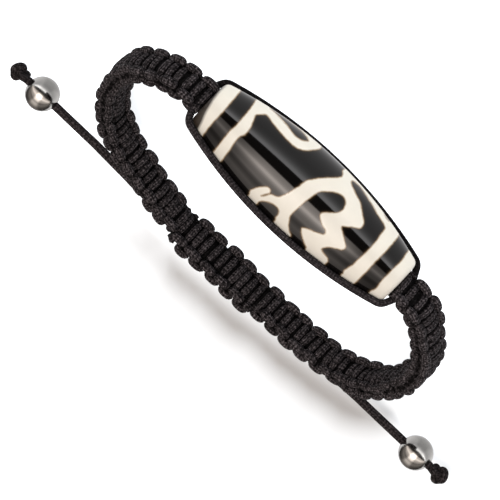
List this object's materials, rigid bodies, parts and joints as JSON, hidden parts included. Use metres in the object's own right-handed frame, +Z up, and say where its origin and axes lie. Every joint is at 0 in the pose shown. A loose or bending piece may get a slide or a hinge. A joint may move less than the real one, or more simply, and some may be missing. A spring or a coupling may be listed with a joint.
{
  "type": "beaded cord bracelet",
  "caption": "Adjustable knotted cord bracelet with a long barrel-shaped patterned agate bead, a sliding knot and steel stop beads on straight pull cords.",
  "frame": {"origin": "on the ground under the middle of the loop's box, measured without the pull cords, stop beads and end knots", "axes": "+Z up; the loop lies on its side with the wrist's axis 7 degrees off vertical; the bead is in front (-Y), the sliding knot behind (+Y), and the bead and the pull cords run along X"},
  "size_m": [0.1034, 0.0535, 0.0172],
  "materials": {
    "agate": "polished dark agate with cream bands and lines",
    "cord": "braided black nylon cord",
    "knotted_cord": "square knots tied in braided black nylon cord",
    "steel": "polished stainless steel"
  },
  "bodies": {
    "root": {"dzi_bead": "agate", "core_cord": "cord", "side_cord_upper": "cord", "side_cord_lower": "cord", "band_right": "knotted_cord", "band_left": "knotted_cord", "sliding_knot": "knotted_cord", "pull_cord_right": "cord", "pull_cord_left": "cord", "stop_bead_right": "steel", "stop_bead_left": "steel", "end_knot_right": "cord", "end_knot_left": "cord"}
  },
  "joints": []
}
